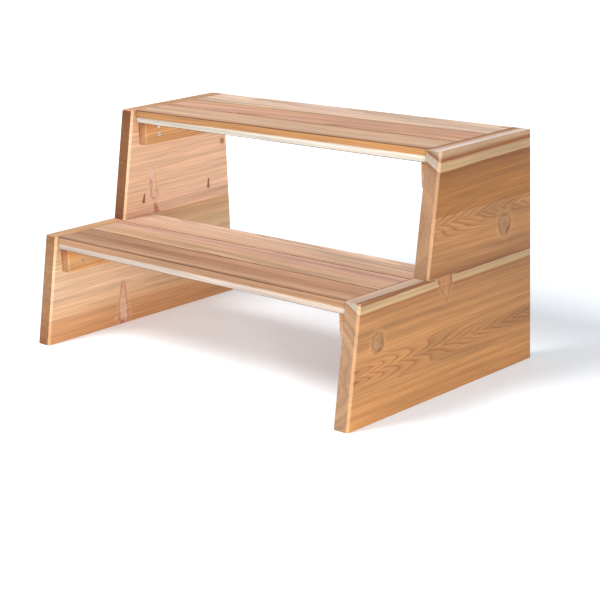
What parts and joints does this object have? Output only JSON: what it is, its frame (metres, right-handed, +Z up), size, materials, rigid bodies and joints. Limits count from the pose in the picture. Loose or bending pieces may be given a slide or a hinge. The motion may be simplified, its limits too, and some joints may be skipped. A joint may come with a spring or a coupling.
{
  "type": "spa steps",
  "caption": "Free-standing wooden steps with slatted treads carried on cleats between stepped sides whose fronts lean back.",
  "frame": {"origin": "on the floor, midway across the steps and midway between the front and the back of the sides", "axes": "+X across the steps to the right of a person facing them, +Y from the front to the back, +Z up"},
  "size_m": [0.914, 0.5608, 0.475],
  "materials": {
    "cedar_side": "satin, clear oiled red cedar with pale sapwood",
    "cedar_tread": "satin, clear oiled red cedar",
    "cedar_cleat": "planed, clear oiled red cedar",
    "dowel_hardwood": "plain, glued in",
    "screw_steel": "stainless, bright"
  },
  "bodies": {
    "root": {"left_side_dowels": "dowel_hardwood", "left_side_lower_board": "cedar_side", "left_side_upper_board": "cedar_side", "lower_left_cleat": "cedar_cleat", "lower_left_side_screws": "screw_steel", "lower_left_tread_screws": "screw_steel", "lower_right_cleat": "cedar_cleat", "lower_right_side_screws": "screw_steel", "lower_right_tread_screws": "screw_steel", "lower_tread_back_board": "cedar_tread", "lower_tread_front_board": "cedar_tread", "lower_tread_middle_board": "cedar_tread", "right_side_dowels": "dowel_hardwood", "right_side_lower_board": "cedar_side", "right_side_upper_board": "cedar_side", "upper_left_cleat": "cedar_cleat", "upper_left_side_screws": "screw_steel", "upper_left_tread_screws": "screw_steel", "upper_right_cleat": "cedar_cleat", "upper_right_side_screws": "screw_steel", "upper_right_tread_screws": "screw_steel", "upper_tread_back_board": "cedar_tread", "upper_tread_front_board": "cedar_tread", "upper_tread_middle_board": "cedar_tread"}
  },
  "joints": []
}
